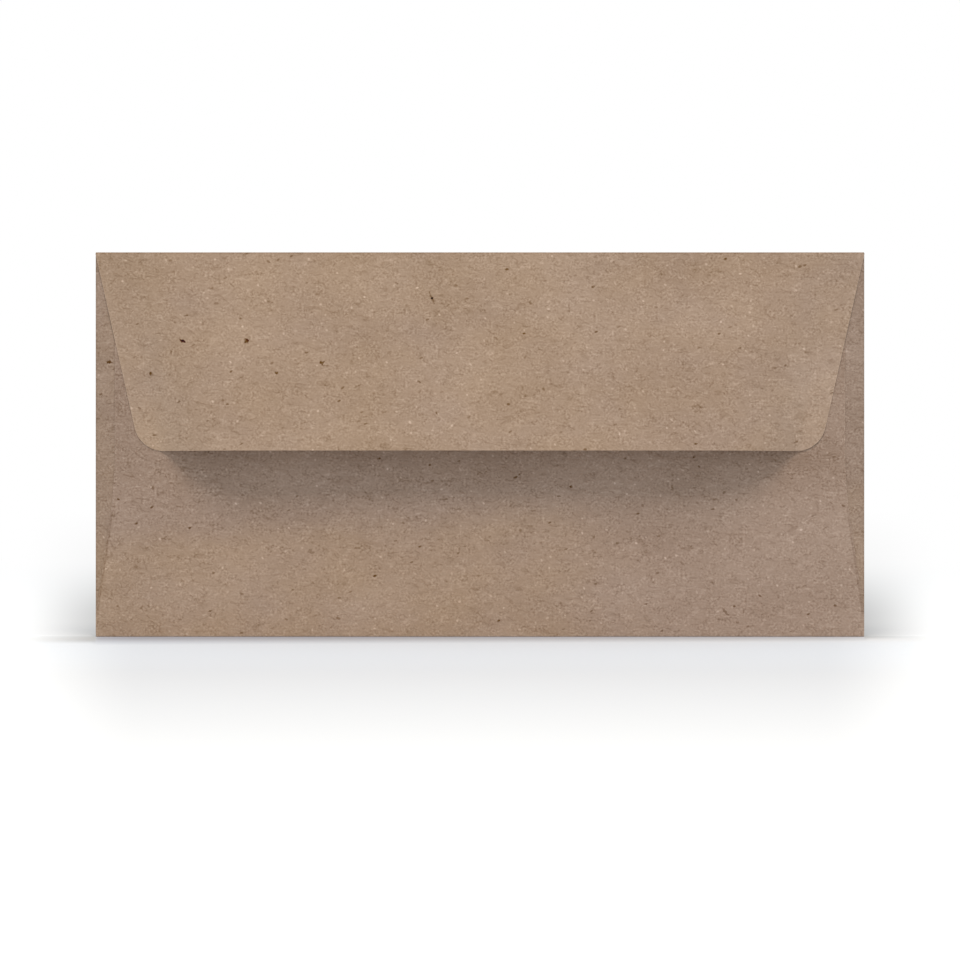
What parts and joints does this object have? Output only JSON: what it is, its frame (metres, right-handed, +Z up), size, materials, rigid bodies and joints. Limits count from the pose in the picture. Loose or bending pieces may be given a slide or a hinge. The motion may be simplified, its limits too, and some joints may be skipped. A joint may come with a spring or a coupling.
{
  "type": "kraft envelope",
  "caption": "Upright kraft paper envelope, folded from one die-cut blank, with side seams, an open pocket and a hinged seal flap.",
  "frame": {"origin": "middle of the bottom fold, on the line that the envelope stands on", "axes": "+Z up from the bottom fold to the top crease, +X to the right seen from the seal flap's side, +Y out of the plain address side, so the seal flap's side faces -Y"},
  "size_m": [0.22, 0.0098, 0.11],
  "materials": {
    "kraft_outside": "uncoated brown kraft, matt, with short fibres and specks",
    "kraft_inside": "uncoated brown kraft, the blank's inner side",
    "kraft_fold": "uncoated brown kraft, lightly scuffed along the score line",
    "dry_glue": "dried paper glue, hidden in the seam",
    "gum_film": "dried remoistenable gum, slightly glossy"
  },
  "bodies": {
    "root": {"front_panel": "kraft_outside", "back_panel": "kraft_outside", "left_side_flap": "kraft_inside", "right_side_flap": "kraft_inside", "bottom_fold": "kraft_fold", "left_side_fold": "kraft_fold", "right_side_fold": "kraft_fold", "top_fold": "kraft_fold", "left_seam_glue": "dry_glue", "right_seam_glue": "dry_glue"},
    "flap": {"seal_flap": "kraft_outside", "seal_gum": "gum_film"}
  },
  "joints": [
    {"name": "flap_hinge", "type": "hinge", "parent": "root", "child": "flap", "pos_m": [0, -0.00003, 0.10952], "axis": [-1, 0, 0], "range_deg": [0, 179]}
  ]
}
